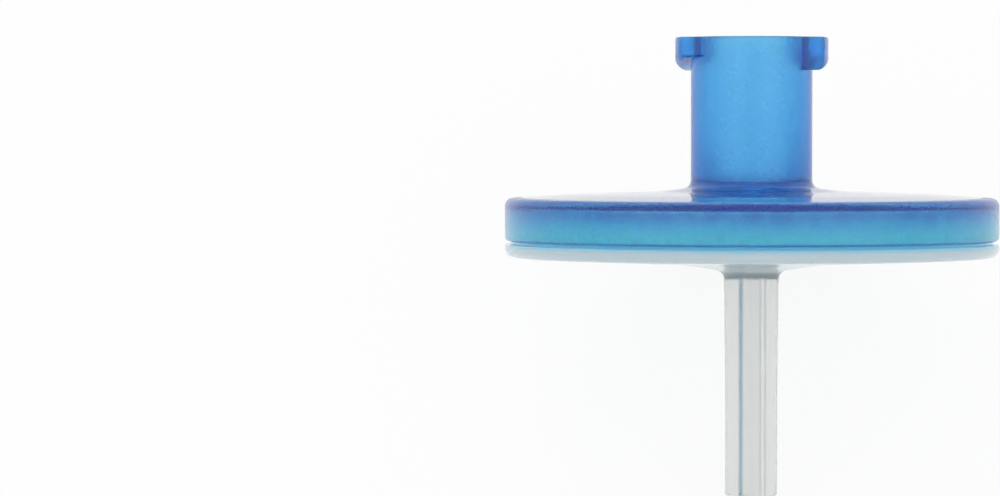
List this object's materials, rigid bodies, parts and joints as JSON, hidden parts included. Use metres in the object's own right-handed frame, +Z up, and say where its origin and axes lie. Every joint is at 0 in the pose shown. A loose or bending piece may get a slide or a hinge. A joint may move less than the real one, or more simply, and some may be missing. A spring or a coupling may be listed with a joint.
{
  "type": "syringe filter",
  "caption": "Round syringe filter: translucent blue inlet half with a locking Luer socket, clear outlet half with a thin outlet tube, and a membrane disc clamped between them.",
  "frame": {"origin": "middle of the bounding box's bottom face, on the ground that the filter lies on", "axes": "+Z up. The filter lies on its rim and its outlet tip, as it comes to rest. Its axis is in the YZ plane and stands 42.3 degrees above the ground, with the inlet up and towards -Y. X is across the disc, through the lugs."},
  "size_m": [0.025, 0.0202, 0.0201],
  "materials": {
    "blue_plastic": "translucent, satin moulded",
    "white_membrane": "matte, fine pores",
    "clear_plastic": "translucent natural, satin moulded"
  },
  "bodies": {
    "root": {"inlet_housing": "blue_plastic", "membrane": "white_membrane", "outlet_housing": "clear_plastic"}
  },
  "joints": []
}
